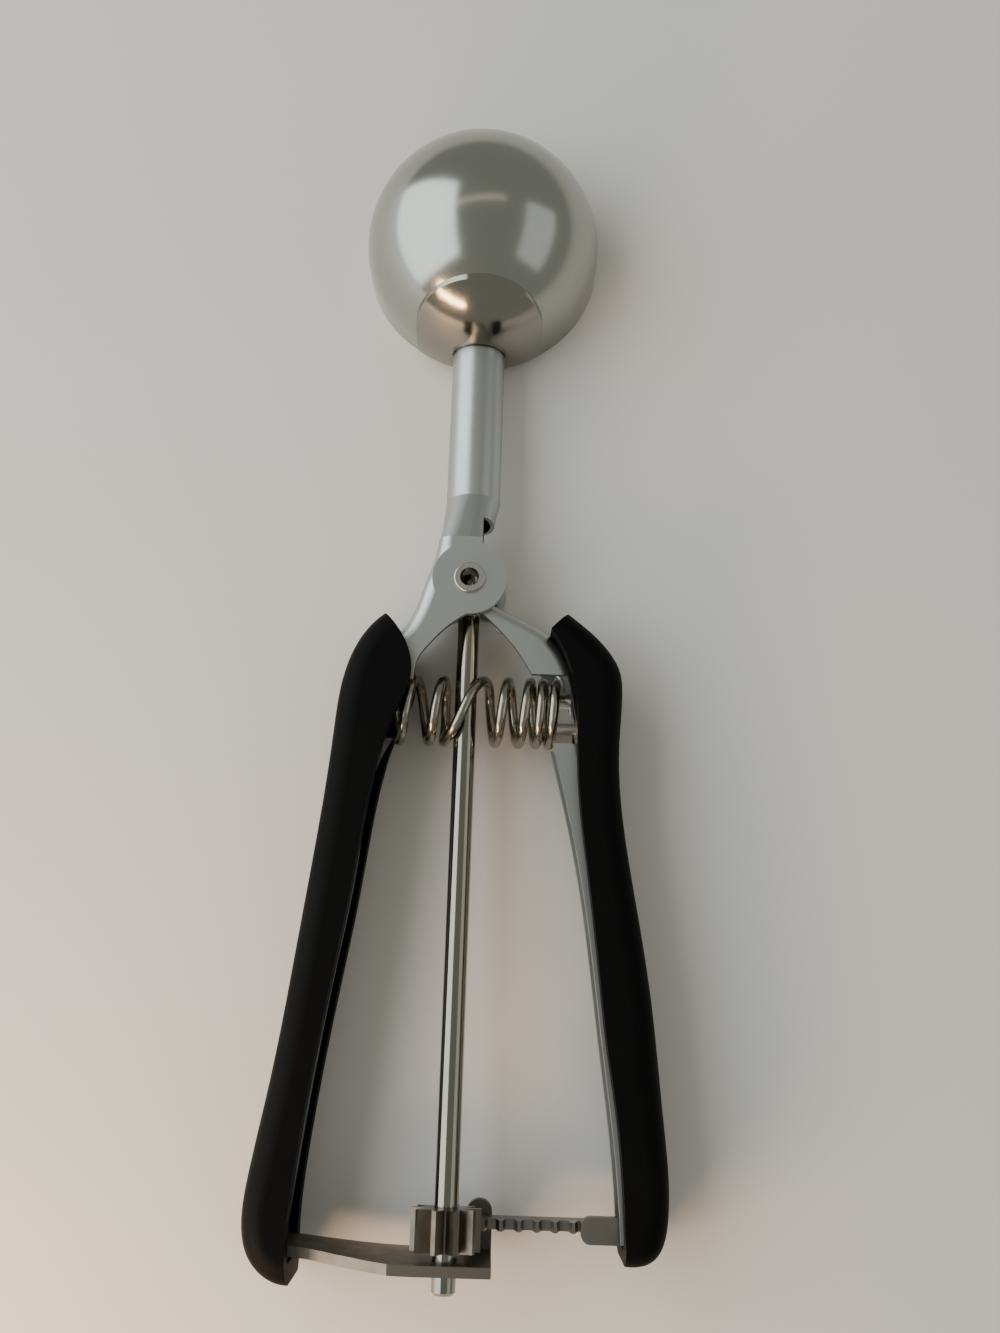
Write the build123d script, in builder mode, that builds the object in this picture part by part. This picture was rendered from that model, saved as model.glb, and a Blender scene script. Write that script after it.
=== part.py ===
from build123d import *
import os
from math import asin, cos, pi, radians, sin, sqrt, tan

# A squeeze-handle cookie scoop, lying dome up as it rests on a table.
# Millimetres, +Z up, +Y along the spindle towards the bowl, +X towards the moving lever.
# Places are measured from the lever pivot; the row origin is the middle of the footprint.

# Driving dimensions: bowl, collar and wiper
bowl_outer_radius = 20.5
bowl_wall = 0.8
pivot_to_bowl = 64.0
collar_wall = 0.6
collar_top = 14.9
collar_half_width = 10.9
collar_length = 0.8
blade_gap = 0.35
blade_thickness = 0.5
blade_width = 4.6
tip_head_radius = 2.0
tip_head = 0.8

# Driving dimensions: spindle, its bearings and its gear
rod_diameter = 3.5
rod_tilt = 3.1
running_gap = 0.05
tenon_diameter = 2.0
neck_tube_diameter = 9.0
sheet = 1.2
bush_length = 5.0
pinion_module = 0.85
pinion_teeth = 10
pinion_length = 5.8
rack_distance = 98.0
rack_thickness = 1.5
rack_body = 2.8
rack_teeth = 9
bracket_thickness = 1.5
bracket_gap = 1.3
rod_tail = 3.2
rod_end_chamfer = 0.4

# Driving dimensions: levers, grips and spring
grip_thickness = 16.0
grip_round = 3.5
bend_radius = 2.2
channel_width = 12.0
ear_radius = 6.0
lever_ear_radius = 5.0
ear_gap = 0.2
eyelet_outer_diameter = 3.9
eyelet_bore = 3.05
eyelet_flange_diameter = 5.0
eyelet_flange = 0.6
spring_mean_radius = 5.0
spring_wire = 1.6
spring_drop = 20.8
spring_north_turns = [-15.0, -12.95, -8.0, -3.5, 3.2, 6.9, 10.5, 12.55, 14.6]
spring_south_turns = [-13.97, -10.45, -5.7, -3.2, 5.0, 8.7, 11.53, 13.58]
spring_clearance = 0.35
spring_travel = 0.7
stud_radius = 3.4
stud_length = 8.0

# Heights above the table
lean = tan(radians(rod_tilt))
mid_height = grip_thickness / 2
front_face = mid_height + channel_width / 2
back_face = mid_height - channel_width / 2
lever_front = front_face - sheet - ear_gap
lever_back = back_face + sheet + ear_gap
bowl_height = mid_height - pivot_to_bowl * lean
pinion_height = mid_height + rack_distance * lean

# Plan outlines of the levers and grips, from the pivot; the tail points keep their places from the rack
frame_web = [(-5.2, 7.0), (-5.6, 4.4), (-7.3, -1.0), (-10.4, -8.2), (-15.2, -11.8), (-17.2, -15.2),
             (-17.6, -21.0), (-17.8, -27.0), (-18.6, -34.0), (-21.2, -56.0), (-24.2, 19.0 - rack_distance),
             (-26.4, 6.0 - rack_distance), (-26.8, -5.0 - rack_distance)]
frame_edge = [(-24.4, -5.0 - rack_distance), (-23.0, 7.5 - rack_distance), (-19.4, -64.0), (-16.4, -44.0),
              (-13.6, -28.0), (-9.8, -21.0), (-8.4, -17.0), (-7.9, -13.9), (-5.9, -10.9), (-4.4, -9.2),
              (-0.5, -6.1)]
frame_neck = [(-0.5, -6.1), (3.0, 0.0), (2.8, 5.0), (2.8, 7.0), (-5.2, 7.0)]
lever_web = [(3.6, -3.4), (10.8, -7.0), (14.2, -9.4), (16.9, -13.6), (18.3, -19.5), (19.5, -26.0),
             (22.4, -38.0), (26.8, -62.0), (29.2, 13.0 - rack_distance), (29.7, -1.6 - rack_distance)]
lever_edge = [(25.4, -1.6 - rack_distance), (24.7, 8.5 - rack_distance), (22.4, -72.0), (19.5, -51.0),
              (16.8, -37.5), (13.9, -25.8), (10.5, -15.4), (8.2, -11.7), (4.4, -7.4), (1.2, -4.6)]
frame_back_cut = [(-14.5, -15.0), (-9.3, -12.0), (-6.8, -7.5), (-4.5, -5.2), (-1.0, -4.0), (7.0, -4.0),
                  (7.0, -20.0), (-14.5, -20.0)]
lever_back_cut = [(14.6, -17.0), (11.5, -12.6), (8.4, -9.2), (4.8, -5.0), (1.0, -4.2), (-6.0, -4.2),
                  (-6.0, -20.0), (14.6, -20.0)]
left_grip_outer = [(-13.4, -6.1), (-16.4, -9.2), (-19.2, -15.4), (-20.6, -26.1), (-23.9, -56.2),
                   (-26.9, 19.4 - rack_distance), (-29.1, 6.5 - rack_distance), (-29.6, -rack_distance),
                   (-28.5, -4.4 - rack_distance), (-26.2, -7.0 - rack_distance), (-22.3, -8.3 - rack_distance)]
left_grip_inner = [(-22.3, -8.3 - rack_distance), (-22.7, -1.0 - rack_distance), (-22.1, 7.5 - rack_distance),
                   (-18.4, -64.0), (-16.4, -51.5), (-14.7, -38.6), (-13.2, -30.0), (-11.8, -25.0), (-10.1, -21.0), (-9.0, -17.8), (-8.7, -14.9),
                   (-9.3, -12.1), (-10.7, -9.5), (-13.4, -6.1)]
right_grip_outer = [(16.2, -5.4), (19.6, -8.1), (22.6, -11.2), (24.5, -14.6), (24.9, -18.5), (24.5, -27.0),
                    (25.0, -36.8), (27.2, -50.5), (29.4, -63.5), (31.6, 15.0 - rack_distance),
                    (32.3, 3.0 - rack_distance), (30.8, -2.8 - rack_distance), (25.9, -4.4 - rack_distance)]
right_grip_inner = [(25.9, -4.4 - rack_distance), (25.6, 3.5 - rack_distance), (24.5, 15.9 - rack_distance),
                    (22.9, -72.0), (21.2, -57.9), (19.6, -45.8), (18.3, -35.6), (17.8, -26.2), (17.6, -19.7),
                    (16.4, -14.4), (13.3, -8.5)]

# Footprint: the row origin is its middle
tip_head_chamfer = 0.5
tip_head_seat = bowl_outer_radius + tip_head_radius * sin(radians(rod_tilt))
rod_length = (rack_distance + pinion_length / 2 + bracket_gap + bracket_thickness + rod_tail
              + pivot_to_bowl)
rod_reach = (rod_length * cos(radians(rod_tilt)) - pivot_to_bowl
             + (rod_diameter / 2 - rod_end_chamfer) * sin(radians(rod_tilt)))
tail_reach = max(rod_reach, -left_grip_outer[-1][1])
bowl_reach = (pivot_to_bowl + (tip_head_seat + tip_head) * cos(radians(rod_tilt))
              + (tip_head_radius - tip_head_chamfer) * sin(radians(rod_tilt)))
west_reach = min(x for x, y in left_grip_outer)
east_reach = max(x for x, y in right_grip_outer)
base = Vector(-(west_reach + east_reach) / 2, (tail_reach - bowl_reach) / 2, 0)
spindle_direction = Vector(0, cos(radians(rod_tilt)), -sin(radians(rod_tilt)))
spindle_up = Vector(0, sin(radians(rod_tilt)), cos(radians(rod_tilt)))
pivot_point = base + Vector(0, 0, mid_height)


def level(height):
    """A horizontal plane over the pivot, at a height above the table."""
    return Plane(base + Vector(0, 0, height), x_dir=(1, 0, 0), z_dir=(0, 0, 1))


def crosswise(distance):
    """An upright plane facing north over the table, at a distance north of the pivot; local Y is up."""
    return Plane(base + Vector(0, distance, 0), x_dir=(-1, 0, 0), z_dir=(0, 1, 0))


def square_to_spindle(distance):
    """A plane square to the spindle and centred on it, at a distance north of the pivot."""
    run = distance / cos(radians(rod_tilt))
    return Plane(pivot_point + spindle_direction * run, x_dir=(-1, 0, 0), z_dir=spindle_direction)


def along_spindle(distance):
    """A plane that holds the spindle's axis: local X is up from it, local Y runs north along it."""
    return Plane(square_to_spindle(distance).origin, x_dir=spindle_up, z_dir=(-1, 0, 0))


spindle_axis = Axis(pivot_point, spindle_direction)


def plan_face(first, second, last=()):
    """A flat face inside two smooth edges and an optional run of straight ones."""
    with BuildSketch(Plane.XY, mode=Mode.PRIVATE) as face:
        with BuildLine():
            Spline(*first)
            if first[-1] != second[0]:
                Line(first[-1], second[0])
            Spline(*second)
            if last:
                Polyline(*last)
            elif second[-1] != first[0]:
                Line(second[-1], first[0])
        make_face()
    return face.sketch


def cavity_face(web, step, far_x, past_north):
    """The plan of a channel's inside: from one sheet inside its web to well past its open edge."""
    inside = [(x + step[0], y + step[1]) for x, y in web]
    with BuildSketch(Plane.XY, mode=Mode.PRIVATE) as face:
        with BuildLine():
            Spline(*inside)
            Polyline(inside[-1], (far_x, inside[-1][1]), (far_x, inside[0][1] + past_north),
                     (inside[0][0], inside[0][1] + past_north), inside[0])
        make_face()
    return face.sketch


def window(inside, inner_width, clearance):
    """The room that the coil needs in a channel's plates, where it is deeper than the channel's inside."""
    coil_radius = spring_mean_radius + spring_wire / 2 + clearance
    half_length = sqrt(coil_radius ** 2 - (inner_width / 2) ** 2)
    reach = Pos(0, -spring_drop) * Rectangle(100, 2 * half_length)
    return extrude(level(back_face) * (inside & reach), channel_width)


def bent(block, radius):
    """A channel's block with its two web corners rounded, as the sheet is bent there."""
    corners = block.edges().filter_by(GeomType.BSPLINE).sort_by(Edge.length)[-2:]
    return fillet(corners, radius)


frame_face = plan_face(frame_web, frame_edge, frame_neck)
lever_face = plan_face(lever_web, lever_edge)
frame_inside = cavity_face(frame_web, (sheet, -sheet * 0.4), 9.0, 0.2)
lever_inside = cavity_face(lever_web, (-sheet * 0.85, -sheet * 0.75), -7.0, 3.0)
frame_inner_width = channel_width - 2 * sheet
lever_width = lever_front - lever_back
lever_inner_width = lever_width - 2 * sheet
frame_block = bent(extrude(level(back_face) * frame_face, channel_width), bend_radius)
lever_block = bent(extrude(level(lever_back) * lever_face, lever_width), bend_radius)
frame_window = window(frame_inside, frame_inner_width, spring_clearance)
lever_window = window(lever_inside, lever_inner_width, spring_travel)
frame_hollow = bent(extrude(level(back_face + sheet) * frame_inside, frame_inner_width), bend_radius - sheet)
lever_hollow = bent(extrude(level(lever_back + sheet) * lever_inside, lever_inner_width), bend_radius - sheet)

# Bowl: a thin half sphere round the spindle's axis, with a straight skirt down to its lip
bowl_inner_radius = bowl_outer_radius - bowl_wall
bowl_centre = base + Vector(0, pivot_to_bowl, bowl_height)
wall_hole_gap = 0.3
with BuildPart() as bowl:
    with BuildSketch(Plane(bowl_centre, x_dir=(1, 0, 0), z_dir=(0, -1, 0))):
        with BuildLine():
            outer_arc = CenterArc((0, 0), bowl_outer_radius, 0, 90)
            inner_arc = CenterArc((0, 0), bowl_inner_radius, 0, 90)
            Line(outer_arc @ 1, inner_arc @ 1)
            Polyline(inner_arc @ 0, (bowl_inner_radius, -bowl_height), (bowl_outer_radius, -bowl_height),
                     outer_arc @ 0)
        make_face()
    revolve(axis=Axis(bowl_centre, (0, 0, 1)))
    with BuildSketch(square_to_spindle(pivot_to_bowl)):
        Circle(rod_diameter / 2 + wall_hole_gap)
    extrude(amount=-2 * bowl_outer_radius, mode=Mode.SUBTRACT)
    with BuildSketch(square_to_spindle(pivot_to_bowl)):
        Circle(tenon_diameter / 2)
    extrude(amount=2 * bowl_outer_radius, mode=Mode.SUBTRACT)
bowl.part.label = "bowl"

# Collar: a trumpet pressed from sheet, its rim on the bowl, trimmed to an upright arch
collar_seat = bowl_outer_radius + running_gap
collar_bore = neck_tube_diameter / 2 + 0.25
collar_rim_turn = asin(collar_top * 1.03 / collar_seat)
collar_mid_turn = radians(24)
collar_mid_lift = 0.55
collar_arch_height = collar_top - collar_half_width
collar_lip_gap = 0.8
with BuildPart() as bowl_collar:
    with BuildSketch(along_spindle(pivot_to_bowl)):
        rim_in = (collar_seat * sin(collar_rim_turn), -collar_seat * cos(collar_rim_turn))
        rim_out = tuple(v * (1 + collar_wall / collar_seat) for v in rim_in)
        mid_in = ((collar_seat + collar_mid_lift) * sin(collar_mid_turn),
                  -(collar_seat + collar_mid_lift) * cos(collar_mid_turn))
        mid_out = tuple(v * (1 + collar_wall / collar_seat) for v in mid_in)
        neck_in = (collar_bore, -collar_seat - collar_length)
        neck_out = (collar_bore + collar_wall, -collar_seat - collar_length)
        with BuildLine():
            Line(rim_in, rim_out)
            Spline(rim_out, mid_out, neck_out)
            Line(neck_out, neck_in)
            Spline(neck_in, mid_in, rim_in)
        make_face()
    revolve(axis=spindle_axis)
    with BuildSketch(square_to_spindle(pivot_to_bowl)):
        with Locations((0, collar_arch_height)):
            Circle(collar_half_width)
        with Locations((0, collar_arch_height)):
            Rectangle(2 * collar_half_width, 2 * collar_half_width,
                      align=(Align.CENTER, Align.MAX), mode=Mode.SUBTRACT)
            Rectangle(2 * collar_half_width, collar_arch_height + bowl_height - collar_lip_gap,
                      align=(Align.CENTER, Align.MAX))
    extrude(amount=-2 * bowl_outer_radius, mode=Mode.INTERSECT)
    with BuildSketch(level(0)):
        with Locations((0, pivot_to_bowl)):
            Circle(collar_seat)
    extrude(amount=bowl_height, mode=Mode.SUBTRACT)
    with Locations(bowl_centre):
        Sphere(collar_seat, mode=Mode.SUBTRACT)
bowl_collar.part.label = "bowl_collar"

# Wiper blade: a springy strip that follows the inside of the bowl from pole to pole
blade_outer_radius = bowl_inner_radius - blade_gap
blade_lap = 2.3
blade_plane = square_to_spindle(pivot_to_bowl)
with BuildPart() as wiper_blade:
    with Locations(blade_plane.origin):
        Sphere(blade_outer_radius)
        Sphere(blade_outer_radius - blade_thickness, mode=Mode.SUBTRACT)
    with BuildSketch(Plane(blade_plane.origin, x_dir=(1, 0, 0), z_dir=spindle_up)):
        with Locations((blade_lap - blade_outer_radius, 0)):
            Rectangle(2 * blade_outer_radius, 2.2 * blade_outer_radius)
    extrude(amount=blade_width / 2, both=True, mode=Mode.INTERSECT)
    with BuildSketch(square_to_spindle(pivot_to_bowl)):
        Circle(tenon_diameter / 2)
    extrude(amount=-2 * bowl_outer_radius, mode=Mode.SUBTRACT)
    with BuildSketch(square_to_spindle(pivot_to_bowl)):
        Circle(tenon_diameter / 2 + running_gap)
    extrude(amount=2 * bowl_outer_radius, mode=Mode.SUBTRACT)
wiper_blade.part.label = "wiper_blade"

# Wiper tip pin: a small rivet through the far wall, on which the blade's free end turns
tenon_spare = 0.6
tip_pin_inside = blade_outer_radius - blade_thickness - tenon_spare
with BuildPart() as wiper_tip_pin:
    with BuildSketch(along_spindle(pivot_to_bowl)):
        with BuildLine():
            Polyline((0, tip_pin_inside), (tenon_diameter / 2, tip_pin_inside),
                     (tenon_diameter / 2, tip_head_seat), (tip_head_radius, tip_head_seat),
                     (tip_head_radius - tip_head_chamfer, tip_head_seat + tip_head),
                     (0, tip_head_seat + tip_head), (0, tip_pin_inside))
        make_face()
    revolve(axis=spindle_axis)
wiper_tip_pin.part.label = "wiper_tip_pin"

# Spindle rod: plain below the bracket, shouldered down to a tenon that carries the blade
rod_shoulder = -blade_outer_radius
tenon_end = -tip_pin_inside
rod_south = -rod_length
with BuildPart() as spindle_rod:
    with BuildSketch(along_spindle(pivot_to_bowl)):
        with BuildLine():
            Polyline((0, rod_south), (rod_diameter / 2 - rod_end_chamfer, rod_south),
                     (rod_diameter / 2, rod_south + rod_end_chamfer), (rod_diameter / 2, rod_shoulder),
                     (tenon_diameter / 2, rod_shoulder), (tenon_diameter / 2, tenon_end),
                     (0, tenon_end), (0, rod_south))
        make_face()
    revolve(axis=spindle_axis)
spindle_rod.part.label = "spindle_rod"

# Neck bush: the plastic bearing in the neck tube's upper end
neck_tube_bore = neck_tube_diameter - 2 * sheet
tube_end = pivot_to_bowl - bowl_outer_radius + 0.15
with BuildPart() as neck_bush:
    with BuildSketch(square_to_spindle(tube_end - 1.0)):
        Circle(neck_tube_bore / 2)
        Circle(rod_diameter / 2 + running_gap, mode=Mode.SUBTRACT)
    extrude(amount=-bush_length)
neck_bush.part.label = "neck_bush"

# Drive pinion: a straight-toothed gear pressed on the rod above the bracket
pitch_radius = pinion_module * pinion_teeth / 2
pinion_tip_radius = pitch_radius + pinion_module
pinion_root_radius = pitch_radius - 1.2 * pinion_module
tooth_root_half = 0.93
tooth_pitch_half = 0.56
tooth_tip_half = 0.3
with BuildSketch(Plane.XY, mode=Mode.PRIVATE) as pinion_tooth:
    with BuildLine():
        Polyline((pinion_root_radius - 0.4, -tooth_root_half), (pitch_radius, -tooth_pitch_half),
                 (pinion_tip_radius, -tooth_tip_half), (pinion_tip_radius, tooth_tip_half),
                 (pitch_radius, tooth_pitch_half), (pinion_root_radius - 0.4, tooth_root_half),
                 (pinion_root_radius - 0.4, -tooth_root_half))
    make_face()
with BuildPart() as drive_pinion:
    with BuildSketch(square_to_spindle(-rack_distance - pinion_length / 2)):
        Circle(pinion_root_radius)
        with PolarLocations(0, pinion_teeth, start_angle=-90 + 180 / pinion_teeth):
            add(pinion_tooth.sketch)
        Circle(rod_diameter / 2, mode=Mode.SUBTRACT)
    extrude(amount=pinion_length)
drive_pinion.part.label = "drive_pinion"

# Frame lever: one stamping, rolled to a tube at the neck, ears at the pivot, a channel under the grip
shoulder_start = 7.0
shoulder_end = 15.0
shoulder_centre = -1.2
shoulder_width = 8.0
shoulder_round = 3.0
shoulder_inner_centre = -0.6
shoulder_inner_width = 6.4
shoulder_inner_height = 9.0
wrap_end = 11.0
neck_edge = 1.9
with BuildPart() as frame_lever:
    with BuildSketch(square_to_spindle(shoulder_end)):
        Circle(neck_tube_diameter / 2)
        Circle(neck_tube_bore / 2, mode=Mode.SUBTRACT)
    extrude(amount=tube_end - shoulder_end)
    with BuildSketch(crosswise(shoulder_start)):
        with Locations((-shoulder_centre, mid_height)):
            RectangleRounded(shoulder_width, channel_width, shoulder_round)
    with BuildSketch(square_to_spindle(shoulder_end)):
        Circle(neck_tube_diameter / 2)
    loft()
    add(frame_block)
    with BuildSketch(level(back_face)):
        Circle(ear_radius)
    extrude(amount=channel_width)
    add(frame_hollow, mode=Mode.SUBTRACT)
    with BuildSketch(level(back_face)):
        with BuildLine():
            Polyline(*frame_back_cut, close=True)
        make_face()
    extrude(amount=sheet, mode=Mode.SUBTRACT)
    with BuildSketch(crosswise(shoulder_start - 1.0)):
        with Locations((-shoulder_inner_centre, mid_height)):
            RectangleRounded(shoulder_inner_width, shoulder_inner_height, 0.6)
    with BuildSketch(square_to_spindle(shoulder_end)):
        Circle(neck_tube_bore / 2)
    loft(mode=Mode.SUBTRACT)
    with BuildSketch(level(back_face + sheet)):
        with Locations((ear_radius / 2, 0)):
            Rectangle(ear_radius * 1.6, 2 * shoulder_start + 0.6)
    extrude(amount=channel_width - 2 * sheet, mode=Mode.SUBTRACT)
    with BuildSketch(level(0)):
        with Locations((neck_edge, wrap_end)):
            Rectangle(ear_radius, wrap_end - ear_radius + 0.2, align=(Align.MIN, Align.MAX))
    extrude(amount=grip_thickness, mode=Mode.SUBTRACT)
    add(frame_window, mode=Mode.SUBTRACT)
    with BuildSketch(level(back_face)):
        Circle(eyelet_outer_diameter / 2)
    extrude(amount=channel_width, mode=Mode.SUBTRACT)
frame_lever.part.label = "frame_lever"

# Squeeze lever: a channel whose ears nest inside the frame's and turn on the two eyelets
lever_web_start = 4.5
with BuildPart() as squeeze_lever:
    add(lever_block)
    with BuildSketch(level(lever_back)):
        Circle(lever_ear_radius)
    extrude(amount=lever_width)
    add(lever_hollow, mode=Mode.SUBTRACT)
    with BuildSketch(level(lever_back)):
        with BuildLine():
            Polyline(*lever_back_cut, close=True)
        make_face()
    extrude(amount=sheet, mode=Mode.SUBTRACT)
    with BuildSketch(level(lever_back + sheet)):
        with Locations((lever_web_start, 0)):
            Rectangle(3 * lever_ear_radius, 3 * lever_ear_radius, align=(Align.MAX, Align.CENTER))
    extrude(amount=lever_inner_width, mode=Mode.SUBTRACT)
    add(lever_window, mode=Mode.SUBTRACT)
    with BuildSketch(level(lever_back)):
        Circle(eyelet_outer_diameter / 2 + running_gap)
    extrude(amount=lever_width, mode=Mode.SUBTRACT)
squeeze_lever.part.label = "squeeze_lever"

# Pivot eyelets: two short hollow rivets, one through each pair of ears, clear of the spindle
inner_flange = 0.4
eyelet_gap = 0.1


def eyelet(ear_face, side):
    """A hollow rivet through one pair of ears; side is 1 in front and -1 behind."""
    outer_end = ear_face + side * eyelet_flange
    inner_face = ear_face - side * (2 * sheet + ear_gap + eyelet_gap)
    inner_end = inner_face - side * inner_flange
    profile = [(eyelet_bore / 2, outer_end), (eyelet_flange_diameter / 2, outer_end),
               (eyelet_flange_diameter / 2, ear_face), (eyelet_outer_diameter / 2, ear_face),
               (eyelet_outer_diameter / 2, inner_face), (eyelet_flange_diameter / 2, inner_face),
               (eyelet_flange_diameter / 2, inner_end), (eyelet_bore / 2, inner_end),
               (eyelet_bore / 2, outer_end)]
    with BuildPart() as rivet:
        with BuildSketch(Plane(base, x_dir=(1, 0, 0), z_dir=(0, -1, 0))):
            with BuildLine():
                Polyline(*profile)
            make_face()
        revolve(axis=Axis(base, (0, 0, 1)))
        fillet(rivet.edges().filter_by(GeomType.CIRCLE).sort_by(Axis.Z)[-1 if side > 0 else 0], 0.2)
    return rivet


pivot_eyelet_front = eyelet(front_face, 1)
pivot_eyelet_front.part.label = "pivot_eyelet_front"
pivot_eyelet_back = eyelet(back_face, -1)
pivot_eyelet_back.part.label = "pivot_eyelet_back"

# Feet: the flat ends of the bracket and the rack arm, welded against the inside of each web
foot_length = 8.4
foot_clearance = 0.6


def foot(hollow, centre_x, centre_y, step):
    """A plate as deep as the step that lies on the inside of a channel's web."""
    reach = Pos(centre_x, centre_y) * Rectangle(2 * foot_length, foot_length)
    block = extrude(level(lever_back + sheet + foot_clearance) * reach,
                    lever_inner_width - 2 * foot_clearance)
    return (hollow & block) - Pos(step, 0, 0) * hollow


def open_side(near_x, far_x):
    """The room beyond a channel's open edge, where its bracket or arm is free to be wider."""
    reach = Pos((near_x + far_x) / 2, -rack_distance) * Rectangle(abs(far_x - near_x), 4 * foot_length)
    return extrude(level(0) * reach, 2 * grip_thickness)


# Spindle bracket: the strip from the frame lever that carries the rod, with the rack's guide tab
bracket_north = -(rack_distance + pinion_length / 2 + bracket_gap)
bracket_east = 6.7
rack_pitch_height = pinion_height - pitch_radius
rack_root_height = rack_pitch_height - 1.3 * pinion_module
rack_back_height = rack_root_height - rack_body
rack_guide_gap = 0.35
bracket_back = rack_back_height - rack_guide_gap - bracket_thickness
bracket_margin = 2.2
bracket_front = pinion_height + rod_diameter / 2 + bracket_margin
bracket_foot_north = 3.8
bracket_open_west = -20.4
open_side_reach = 12.0
guide_tab_width = 3.8
guide_tab_length = 7.1
bracket_strip = [(-27.0, bracket_north + 1.7), (-21.0, bracket_north + 1.1), (-12.0, bracket_north + 0.3),
                 (-5.0, bracket_north)]
bracket_under = [(x, y - bracket_thickness) for x, y in reversed(bracket_strip)]
bracket_foot = foot(frame_hollow, frame_web[-1][0], bracket_north + bracket_foot_north, bracket_thickness)
bracket_room = frame_hollow + open_side(bracket_open_west, open_side_reach)
with BuildPart() as spindle_bracket:
    with BuildSketch(level(bracket_back)):
        with BuildLine():
            Spline(*bracket_strip)
            Polyline(bracket_strip[-1], (bracket_east, bracket_north),
                     (bracket_east, bracket_north - bracket_thickness), bracket_under[0])
            Spline(*bracket_under)
            Line(bracket_under[-1], bracket_strip[0])
        make_face()
    extrude(amount=bracket_front - bracket_back)
    with BuildSketch(crosswise(bracket_north - 2 * bracket_thickness)):
        with BuildLine():
            Polyline((26.2, back_face + sheet), (26.2, front_face - sheet), (19.5, front_face - sheet),
                     (8, bracket_front), (-bracket_east, bracket_front), (-bracket_east, bracket_back),
                     (16, bracket_back), (19.5, back_face + sheet), (26.2, back_face + sheet))
        make_face()
    extrude(amount=4 * bracket_thickness, mode=Mode.INTERSECT)
    add(bracket_room, mode=Mode.INTERSECT)
    with BuildSketch(level(bracket_back)):
        with Locations((bracket_east - guide_tab_width / 2, bracket_north - bracket_thickness / 2)):
            Rectangle(guide_tab_width, guide_tab_length - guide_tab_width / 2 + bracket_thickness / 2,
                      align=(Align.CENTER, Align.MIN))
        with Locations((bracket_east - guide_tab_width / 2,
                        bracket_north + guide_tab_length - guide_tab_width / 2)):
            Circle(guide_tab_width / 2)
    extrude(amount=bracket_thickness)
    add(bracket_foot)
    with BuildSketch(square_to_spindle(bracket_north + bracket_thickness)):
        Circle(rod_diameter / 2 + running_gap)
    extrude(amount=-4 * bracket_thickness, mode=Mode.SUBTRACT)
spindle_bracket.part.label = "spindle_bracket"

# Rack arm: a toothed strip behind the pinion, widened and turned to meet the squeeze lever
tooth_pitch = pi * pinion_module
rack_west = -1.5 * tooth_pitch
rack_neck = 19.8
rack_east = 27.6
rack_tip_height = rack_pitch_height + 0.8 * pinion_module
rack_tooth_root = 0.8
rack_tooth_tip = 0.24
root_plate_north = 1.6
root_plate_south = -2.2
root_plate_round = 1.4
rack_foot_north = 3.0
rack_open_east = 25.2
rack_foot = foot(lever_hollow, lever_web[-1][0], -rack_distance + rack_foot_north, -rack_thickness)
rack_room = lever_hollow + open_side(rack_open_east, -open_side_reach)
with BuildPart() as rack_arm:
    with BuildSketch(crosswise(-rack_distance - rack_thickness / 2)):
        with Locations((-(rack_west + rack_east) / 2, (rack_root_height + rack_back_height) / 2)):
            Rectangle(rack_east - rack_west, rack_body)
        for tooth in range(rack_teeth):
            middle = -(tooth - 1) * tooth_pitch
            with BuildLine():
                Polyline((middle - rack_tooth_root, rack_root_height - 0.2),
                         (middle - rack_tooth_tip, rack_tip_height), (middle + rack_tooth_tip, rack_tip_height),
                         (middle + rack_tooth_root, rack_root_height - 0.2),
                         (middle - rack_tooth_root, rack_root_height - 0.2))
            make_face()
        with Locations((-(rack_neck + rack_east) / 2, (rack_tip_height + rack_back_height) / 2)):
            Rectangle(rack_east - rack_neck, rack_tip_height - rack_back_height)
    extrude(amount=rack_thickness)
    with BuildSketch(level(rack_tip_height - rack_thickness)):
        with Locations(((rack_neck + rack_east) / 2,
                        -rack_distance + (root_plate_north + root_plate_south) / 2)):
            RectangleRounded(rack_east - rack_neck, root_plate_north - root_plate_south, root_plate_round)
    extrude(amount=rack_thickness)
    add(rack_foot)
    add(rack_room, mode=Mode.INTERSECT)
rack_arm.part.label = "rack_arm"

# Spring seats: round studs riveted to the two webs, inside the ends of the spring
spring_line = Plane(base + Vector(0, -spring_drop, mid_height), x_dir=(0, 1, 0), z_dir=(1, 0, 0))
left_stud_tip = -12.2
right_stud_tip = 13.3
with BuildPart() as spring_stud_left:
    with BuildSketch(spring_line.offset(left_stud_tip)):
        Circle(stud_radius)
    extrude(amount=-stud_length)
    add(frame_hollow, mode=Mode.INTERSECT)
spring_stud_left.part.label = "spring_stud_left"
with BuildPart() as spring_stud_right:
    with BuildSketch(spring_line.offset(right_stud_tip)):
        Circle(stud_radius)
    extrude(amount=stud_length)
    add(lever_hollow, mode=Mode.INTERSECT)
spring_stud_right.part.label = "spring_stud_right"


# Return spring: one wire, its centre line a chain of tangent arc pairs, four pairs to a turn
def spring_stations():
    """Points and directions on the coil a quarter turn apart; the spindle passes through it."""
    halves = [spring_north_turns[0]]
    for south, north in zip(spring_south_turns, spring_north_turns[1:]):
        halves += [south, north]
    places = [halves[0]]
    for near, far in zip(halves, halves[1:]):
        places += [(near + far) / 2, far]
    steps = [far - near for near, far in zip(places, places[1:])]
    slopes = [steps[0]] + [(a + b) / 2 for a, b in zip(steps, steps[1:])] + [steps[-1]]
    stations = []
    for quarter, (x, slope) in enumerate(zip(places, slopes)):
        turn = quarter * pi / 2
        point = Vector(x, -spring_drop + spring_mean_radius * cos(turn),
                       mid_height - spring_mean_radius * sin(turn))
        heading = Vector(slope / (pi / 2), -spring_mean_radius * sin(turn), -spring_mean_radius * cos(turn))
        stations.append((base + point, heading.normalized()))
    return stations


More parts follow.
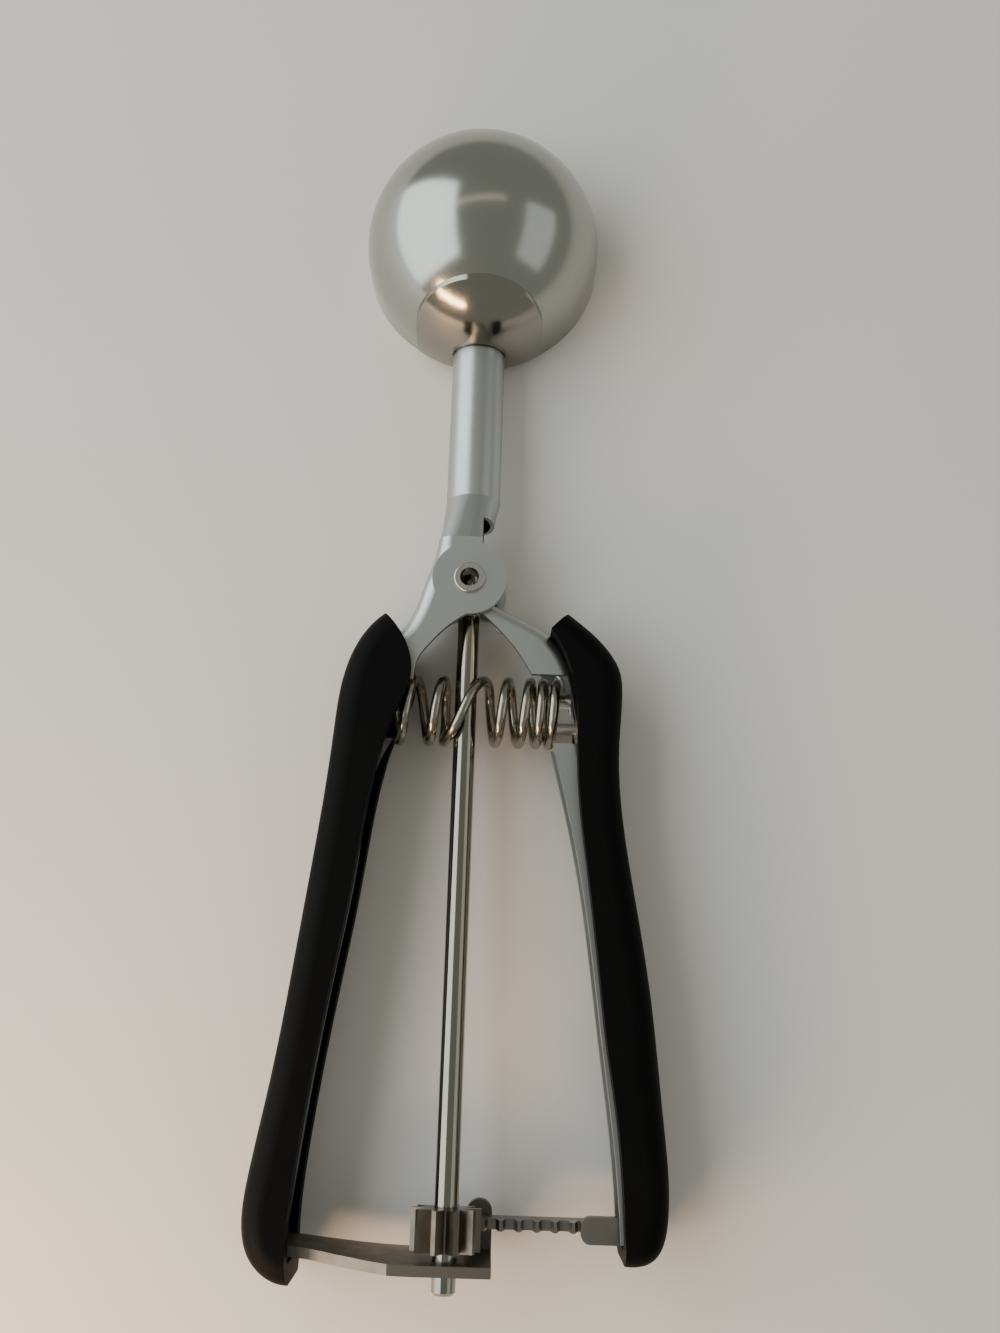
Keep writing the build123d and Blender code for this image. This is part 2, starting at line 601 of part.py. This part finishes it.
def arc_pair(start, start_heading, end, end_heading):
    """The knot and its heading where two tangent arcs of equal reach meet between two stations."""
    chord = end - start
    spread = start_heading + end_heading
    bend = 2 * (1 - start_heading.dot(end_heading))
    reach = (-chord.dot(spread) + sqrt(chord.dot(spread) ** 2 + bend * chord.dot(chord))) / bend
    knot = (start + end + (start_heading - end_heading) * reach) * 0.5
    heading = (end - end_heading * reach) - (start + start_heading * reach)
    return knot, heading.normalized()


spring_knots = []
coil = spring_stations()
for (start, start_heading), (end, end_heading) in zip(coil, coil[1:]):
    spring_knots.append((start, start_heading))
    spring_knots.append(arc_pair(start, start_heading, end, end_heading))
spring_knots.append(coil[-1])
with BuildPart() as return_spring:
    with BuildLine() as spring_path:
        for (point, heading), (next_point, next_heading) in zip(spring_knots, spring_knots[1:]):
            TangentArc(point, next_point, tangent=heading)
    with BuildSketch(Plane(coil[0][0], z_dir=coil[0][1])):
        Circle(spring_wire / 2)
    sweep()
return_spring.part.label = "return_spring"
spring_points = [arc @ (k / 4) for arc in spring_path.edges() for k in range(4)]
spring_lag = 16
spring_least = min((spring_points[i] - spring_points[j]).length
                   for i in range(len(spring_points)) for j in range(i + spring_lag, len(spring_points)))
wire_volume = pi * spring_wire ** 2 / 4 * sum(arc.length for arc in spring_path.edges())
print("return_spring turns", len(spring_south_turns), "least gap to itself", round(spring_least - spring_wire, 2),
      "volume", round(return_spring.part.volume, 1), "section times length", round(wire_volume, 1))

# Grips: rubber sleeves over the channels, open along the inner side, with pointed ends
with BuildPart() as left_grip:
    with BuildSketch(level(0)):
        add(plan_face(left_grip_outer, left_grip_inner))
    extrude(amount=grip_thickness)
    fillet(left_grip.edges().group_by(Axis.Z)[-1].sort_by(Edge.length)[-1:], grip_round)
    fillet(left_grip.edges().group_by(Axis.Z)[0].sort_by(Edge.length)[-1:], grip_round)
    add([frame_block, frame_hollow, frame_window], mode=Mode.SUBTRACT)
left_grip.part.label = "left_grip"
with BuildPart() as right_grip:
    with BuildSketch(level(0)):
        add(plan_face(right_grip_outer, right_grip_inner))
    extrude(amount=grip_thickness)
    fillet(right_grip.edges().group_by(Axis.Z)[-1].sort_by(Edge.length)[-1:], grip_round)
    fillet(right_grip.edges().group_by(Axis.Z)[0].sort_by(Edge.length)[-1:], grip_round)
    add([lever_block, lever_hollow, lever_window], mode=Mode.SUBTRACT)
right_grip.part.label = "right_grip"

os.makedirs("parts", exist_ok=True)
export_step(bowl.part, "parts/bowl.step")
export_step(bowl_collar.part, "parts/bowl_collar.step")
export_step(wiper_blade.part, "parts/wiper_blade.step")
export_step(wiper_tip_pin.part, "parts/wiper_tip_pin.step")
export_step(spindle_rod.part, "parts/spindle_rod.step")
export_step(neck_bush.part, "parts/neck_bush.step")
export_step(drive_pinion.part, "parts/drive_pinion.step")
export_step(frame_lever.part, "parts/frame_lever.step")
export_step(spindle_bracket.part, "parts/spindle_bracket.step")
export_step(left_grip.part, "parts/left_grip.step")
export_step(squeeze_lever.part, "parts/squeeze_lever.step")
export_step(rack_arm.part, "parts/rack_arm.step")
export_step(right_grip.part, "parts/right_grip.step")
export_step(pivot_eyelet_front.part, "parts/pivot_eyelet_front.step")
export_step(pivot_eyelet_back.part, "parts/pivot_eyelet_back.step")
export_step(return_spring.part, "parts/return_spring.step")
export_step(spring_stud_left.part, "parts/spring_stud_left.step")
export_step(spring_stud_right.part, "parts/spring_stud_right.step")
print("pivot", pivot_point, "bowl centre", square_to_spindle(pivot_to_bowl).origin, "axis", spindle_direction)
print("gear ratio", rack_distance / pitch_radius)
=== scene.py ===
# %% [markdown]
# # Cookie scoop
# The finished look of a squeeze-handle cookie scoop, lying dome up on a pale table.
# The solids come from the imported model. Here they get their finishes, their light and a camera,
# and the small marks that making and use leave on steel and rubber.

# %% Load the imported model
import math
import bpy
from mathutils import Matrix, Vector

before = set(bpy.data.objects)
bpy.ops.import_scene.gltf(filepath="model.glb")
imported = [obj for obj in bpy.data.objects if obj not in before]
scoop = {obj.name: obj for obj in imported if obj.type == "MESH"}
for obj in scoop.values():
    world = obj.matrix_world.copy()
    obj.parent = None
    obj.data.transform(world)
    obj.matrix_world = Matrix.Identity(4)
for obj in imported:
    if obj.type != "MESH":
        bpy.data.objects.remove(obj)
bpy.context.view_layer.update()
print("nodes", sorted(scoop))

# %% [markdown]
# ## Colours and nodes
# A colour is written the way a paint chart or a photo editor gives it, as an sRGB hex value.
# Blender's shaders work on linear light, so one function turns the first into the second.
# Materials are trees of nodes. One small function adds a node, sets it and wires it up, and a few more
# build the groups that every finish uses, so that each finish below reads as a short recipe.

# %% Helpers for colours and nodes
MM = 0.001
FIRST_COLOUR, SECOND_COLOUR, MIXED_COLOUR = 6, 7, 2
FIRST_NUMBER, SECOND_NUMBER = 2, 3


def linear(hex_colour):
    """A hex colour as linear red, green, blue and alpha."""
    values = [int(hex_colour[i:i + 2], 16) / 255 for i in (1, 3, 5)]
    return [v / 12.92 if v <= 0.04045 else ((v + 0.055) / 1.055) ** 2.4 for v in values] + [1.0]


def add(tree, kind, settings=None, **inputs):
    """A new node; inputs are numbers, colours or the sockets they are fed from."""
    node = tree.nodes.new(kind)
    for name, value in (settings or {}).items():
        setattr(node, name, value)
    for name, value in inputs.items():
        socket = node.inputs[name.replace("_", " ")]
        if isinstance(value, bpy.types.NodeSocket):
            tree.links.new(value, socket)
        else:
            socket.default_value = value
    return node


def new_material(name):
    """An empty material and its node tree."""
    material = bpy.data.materials.new(name)
    material.use_nodes = True
    material.node_tree.nodes.clear()
    return material, material.node_tree


def object_place(tree):
    """Where a point lies on its own object, so that a pattern moves with the piece."""
    return add(tree, "ShaderNodeTexCoord").outputs["Object"]


def noise(tree, place, size_mm, detail, **inputs):
    """A noise whose grains are about size_mm wide."""
    node = add(tree, "ShaderNodeTexNoise", Vector=place, Scale=1 / (size_mm * MM), Detail=detail, **inputs)
    return node.outputs[0]


def colour_between(tree, factor, first, second):
    """A colour that a noise carries between two others."""
    node = add(tree, "ShaderNodeMix", {"data_type": "RGBA"}, Factor=factor)
    node.inputs[FIRST_COLOUR].default_value = first
    node.inputs[SECOND_COLOUR].default_value = second
    return node.outputs[MIXED_COLOUR]


def gloss_between(tree, factor, low, high):
    """A roughness that runs between two (noise value, roughness) pairs."""
    node = add(tree, "ShaderNodeValToRGB", Fac=factor)
    for element, (place, grey) in zip(node.color_ramp.elements, (low, high)):
        element.position = place
        element.color = (grey, grey, grey, 1.0)
    return node.outputs[0]


print("helpers ready; mid grey", [round(v, 3) for v in linear("#808080")])

# %% [markdown]
# ## Satin stainless steel
# The bowl is 18/8 stainless steel, spun from sheet and polished until it mirrors its surroundings
# softly. The eye reads the slightly blurred reflections and the very fine rings that the polishing
# wheel leaves. A noise stretched along one direction gives those rings; it drives the roughness and a
# faint bump, because steel shows them as changes of gloss, never of colour. A second, wide noise stands
# for the cloudy film that washing leaves, and takes a tenth off the colour where it is thickest.

# %% Make the polished steel finishes
CLOUD_MM = 14
CLOUD_SHARE = 0.45
CLOUD_DARKENS_TO = 0.9
GRAIN_DEPTH_MM = 0.02


def polished_steel(name, colour, dull, bright, grain_mm, stretch, bump):
    """Stainless steel with a fine grain across the stretched axis; dull and bright bound its roughness."""
    material, tree = new_material(name)
    place = object_place(tree)
    drawn = add(tree, "ShaderNodeMapping", Vector=place, Scale=stretch).outputs[0]
    grain = noise(tree, drawn, grain_mm, 4.0, Roughness=0.55)
    cloud = noise(tree, place, CLOUD_MM, 3.0)
    both = add(tree, "ShaderNodeMix", {"data_type": "FLOAT"}, Factor=CLOUD_SHARE)
    tree.links.new(grain, both.inputs[FIRST_NUMBER])
    tree.links.new(cloud, both.inputs[SECOND_NUMBER])
    gloss = gloss_between(tree, both.outputs[0], (0.35, bright), (0.7, dull))
    clouded = [v * CLOUD_DARKENS_TO for v in linear(colour)[:3]] + [1.0]
    tint = colour_between(tree, cloud, linear(colour), clouded)
    relief = add(tree, "ShaderNodeBump", Strength=bump, Distance=GRAIN_DEPTH_MM * MM, Height=grain)
    steel = add(tree, "ShaderNodeBsdfPrincipled", Metallic=1.0, Base_Color=tint, Roughness=gloss,
                Normal=relief.outputs[0])
    add(tree, "ShaderNodeOutputMaterial", Surface=steel.outputs[0])
    return material


spun_bowl_steel = polished_steel("spun_bowl_stainless", "#a8aaa3", 0.24, 0.15, 0.35, (1, 1, 6), 0.03)
pressed_lever_steel = polished_steel("pressed_lever_stainless", "#b4b9b7", 0.42, 0.30, 0.5, (6, 1, 1), 0.06)
collar_steel = polished_steel("pressed_collar_stainless", "#9a968d", 0.18, 0.11, 0.5, (1, 1, 1), 0.03)
drawn_rod_steel = polished_steel("drawn_rod_stainless", "#939085", 0.16, 0.07, 0.3, (1, 8, 1), 0.04)
rivet_steel = polished_steel("rivet_stainless", "#bebdb9", 0.30, 0.18, 0.4, (1, 1, 1), 0.02)
blade_steel = polished_steel("blade_stainless", "#aeaba5", 0.3, 0.16, 0.4, (1, 6, 1), 0.05)
print("polished steels made")

# %% [markdown]
# ## Cut and stamped steel
# The pinion, the rack and the bracket are punched or cut and then only tumbled in a barrel of stones, so
# they are greyer and duller than the levers. Tumbling leaves fine pits all over and patches that are a
# little darker and duller than the rest. Two noises give them: a fine one the pits, a coarse one the
# patches. The spring's wire has the same look, finer and glossier.

# %% Make the tumbled steel finishes
PIT_MM = 0.25
PATCH_MM = 3
PIT_DEPTH_MM = 0.03


def tumbled_steel(name, colour, dark, dull, bright):
    """Steel with the fine all-over pitting of a tumbling barrel and darker patches between."""
    material, tree = new_material(name)
    place = object_place(tree)
    pits = noise(tree, place, PIT_MM, 5.0)
    patches = noise(tree, place, PATCH_MM, 3.0)
    gloss = gloss_between(tree, patches, (0.3, bright), (0.7, dull))
    tint = colour_between(tree, patches, linear(colour), linear(dark))
    relief = add(tree, "ShaderNodeBump", Strength=0.2, Distance=PIT_DEPTH_MM * MM, Height=pits)
    steel = add(tree, "ShaderNodeBsdfPrincipled", Metallic=1.0, Base_Color=tint, Roughness=gloss,
                Normal=relief.outputs[0])
    add(tree, "ShaderNodeOutputMaterial", Surface=steel.outputs[0])
    return material


pinion_steel = tumbled_steel("cut_pinion_steel", "#767167", "#5a554c", 0.42, 0.28)
rack_steel = tumbled_steel("stamped_rack_steel", "#8f8d87", "#726f69", 0.45, 0.3)
bracket_steel = tumbled_steel("stamped_bracket_steel", "#7a7770", "#605d56", 0.52, 0.4)
spring_steel = tumbled_steel("spring_wire_stainless", "#aaa598", "#858174", 0.26, 0.14)
print("tumbled steels made")

# %% [markdown]
# ## Grip rubber and bearing plastic
# The grips are a soft thermoplastic rubber moulded over the levers, nearly black. Such rubber scatters
# a little light at its surface, so it looks satin: a broad, faint highlight and a fine spark-eroded
# grain about a tenth of a millimetre wide, drawn here at a fifth so that it shows. Hands polish it in
# places, which the larger noise does to the roughness.

# %% Make the rubber and the plastic
HANDLING_MM = 22
SURFACE_GLOSS = 0.06


def moulded_black(name, colour, rubbed, dull, bright, grain_mm, depth_mm):
    """A moulded dark material with a fine grain and patches that handling has polished."""
    material, tree = new_material(name)
    place = object_place(tree)
    grain = noise(tree, place, grain_mm, 2.0)
    handling = noise(tree, place, HANDLING_MM, 3.0)
    gloss = gloss_between(tree, handling, (0.35, bright), (0.65, dull))
    tint = colour_between(tree, handling, linear(colour), linear(rubbed))
    relief = add(tree, "ShaderNodeBump", Strength=0.35, Distance=depth_mm * MM, Height=grain)
    body = add(tree, "ShaderNodeBsdfPrincipled", Metallic=0.0, IOR=1.5, Base_Color=tint, Roughness=gloss,
               Normal=relief.outputs[0], Specular_IOR_Level=SURFACE_GLOSS)
    add(tree, "ShaderNodeOutputMaterial", Surface=body.outputs[0])
    return material


grip_rubber = moulded_black("moulded_grip_rubber", "#060707", "#0a0b0b", 0.62, 0.5, 0.2, 0.05)
bush_plastic = moulded_black("moulded_bush_acetal", "#17181a", "#1d1e20", 0.45, 0.35, 0.3, 0.02)
print("rubber and plastic made")

# %% [markdown]
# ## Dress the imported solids
# Each solid already has the real piece's shape, so it only takes its finish. The material goes into
# the object's own slots; the meshes stay as they are.

# %% Put the finishes on the solids
finishes = {
    "bowl": spun_bowl_steel,
    "bowl_collar": collar_steel,
    "wiper_blade": blade_steel,
    "wiper_tip_pin": rivet_steel,
    "spindle_rod": drawn_rod_steel,
    "drive_pinion": pinion_steel,
    "neck_bush": bush_plastic,
    "frame_lever": pressed_lever_steel,
    "squeeze_lever": pressed_lever_steel,
    "spindle_bracket": bracket_steel,
    "rack_arm": rack_steel,
    "left_grip": grip_rubber,
    "right_grip": grip_rubber,
    "pivot_eyelet_front": rivet_steel,
    "pivot_eyelet_back": rivet_steel,
    "return_spring": spring_steel,
    "spring_stud_left": rivet_steel,
    "spring_stud_right": rivet_steel,
}
for name, finish in finishes.items():
    piece = scoop[name]
    if not piece.material_slots:
        piece.data.materials.append(None)
    for own_slot in piece.material_slots:
        own_slot.link = "OBJECT"
        own_slot.material = finish
print("dressed", len(finishes), "solids")

# %% [markdown]
# ## The table
# The scoop lies on a pale matt laminate. A very wide, faint noise between two near-equal colours keeps
# it from looking like a painted backdrop.

# %% Lay the table
MOTTLE_MM = 60
TABLE_REACH = 2.0
table_material, table_tree = new_material("pale_table_laminate")
mottle = noise(table_tree, object_place(table_tree), MOTTLE_MM, 4.0)
table_tint = colour_between(table_tree, mottle, linear("#dedcd6"), linear("#e4e1da"))
table_body = add(table_tree, "ShaderNodeBsdfPrincipled", Base_Color=table_tint, Roughness=0.55)
add(table_tree, "ShaderNodeOutputMaterial", Surface=table_body.outputs[0])
corners = [(TABLE_REACH * x, TABLE_REACH * y, 0) for x, y in ((-1, -1), (1, -1), (1, 1), (-1, 1))]
table_mesh = bpy.data.meshes.new("table_top")
table_mesh.from_pydata(corners, [], [(0, 1, 2, 3)])
table_mesh.materials.append(table_material)
table_top = bpy.data.objects.new("table_top", table_mesh)
bpy.context.scene.collection.objects.link(table_top)
print("table laid")

# %% [markdown]
# ## The light
# Polished steel shows the lights' own shapes, so each panel is a broad, even one. A large cool one on the
# left is the main light and a weaker one fills from the right. A dim narrow one above the far end lifts
# the dome's upper edge, and a small warm one near the grips' ends gives the table its warm corner. A dim
# even room fills the shadows. Places, aims and sizes are in metres, and the strength is in watts.

# %% Hang the lights
def soft_panel(name, place, aim, width, height, watts, colour):
    """A rectangular area light that faces a point."""
    data = bpy.data.lights.new(name, "AREA")
    data.shape = "RECTANGLE"
    data.size = width
    data.size_y = height
    data.energy = watts
    data.color = linear(colour)[:3]
    panel = bpy.data.objects.new(name, data)
    facing = (Vector(aim) - Vector(place)).to_track_quat("-Z", "Y").to_matrix().to_4x4()
    panel.matrix_world = Matrix.Translation(place) @ facing
    bpy.context.scene.collection.objects.link(panel)


soft_panel("window_left", (-0.5, 0.12, 0.36), (0, 0.12, 0.1), 1.0, 0.74, 6.2, "#f4faff")
soft_panel("window_right", (0.58, 0.03, 0.42), (0, 0.06, 0.03), 0.7, 0.4, 0.52, "#f4f6fa")
soft_panel("ceiling_glow", (-0.05, 0.36, 0.8), (0, 0.0, 0.0), 0.7, 0.07, 0.12, "#ffe9da")
soft_panel("warm_lamp", (-0.15, -0.2, 0.1), (-0.13, -0.17, 0.0), 0.14, 0.05, 0.75, "#ffd0a4")
ROOM_STRENGTH = 0.52
room = bpy.data.worlds.new("dim_room")
room.use_nodes = True
room_light = room.node_tree.nodes["Background"]
room_light.inputs["Color"].default_value = linear("#d2d3ca")
room_light.inputs["Strength"].default_value = ROOM_STRENGTH
bpy.context.scene.world = room
print("lights hung")

# %% [markdown]
# ## The camera
# The photograph was taken from almost straight above, about twenty centimetres over the table, with the
# camera tipped a little towards the bowl and rolled a little. Its numbers come from fitting the bowl's
# outline, the rod's widening and the gear: a focal length of 1300 pixels on a picture 1333 pixels high.

# %% Set up the camera
FOCAL_PIXELS = 1300
PICTURE_PIXELS = 1333
SENSOR_MM = 36
camera_place = Vector((3.99, -51.31, 214.5)) * MM
tip = math.radians(13.3)
roll = math.radians(1.78)
ahead = Vector((0, math.sin(tip), -math.cos(tip)))
level_up = Vector((0, math.cos(tip), math.sin(tip)))
level_right = Vector((1, 0, 0))
up = math.cos(roll) * level_up - math.sin(roll) * level_right
right = math.cos(roll) * level_right + math.sin(roll) * level_up
camera_data = bpy.data.cameras.new("overhead_camera")
camera_data.sensor_width = SENSOR_MM
camera_data.lens = SENSOR_MM * FOCAL_PIXELS / PICTURE_PIXELS
camera_data.clip_start = 5 * MM
camera = bpy.data.objects.new("overhead_camera", camera_data)
turn = Matrix((right, up, -ahead)).transposed().to_4x4()
camera.matrix_world = Matrix.Translation(camera_place) @ turn
bpy.context.scene.collection.objects.link(camera)
bpy.context.scene.camera = camera
print("camera at", [round(v, 4) for v in camera_place])
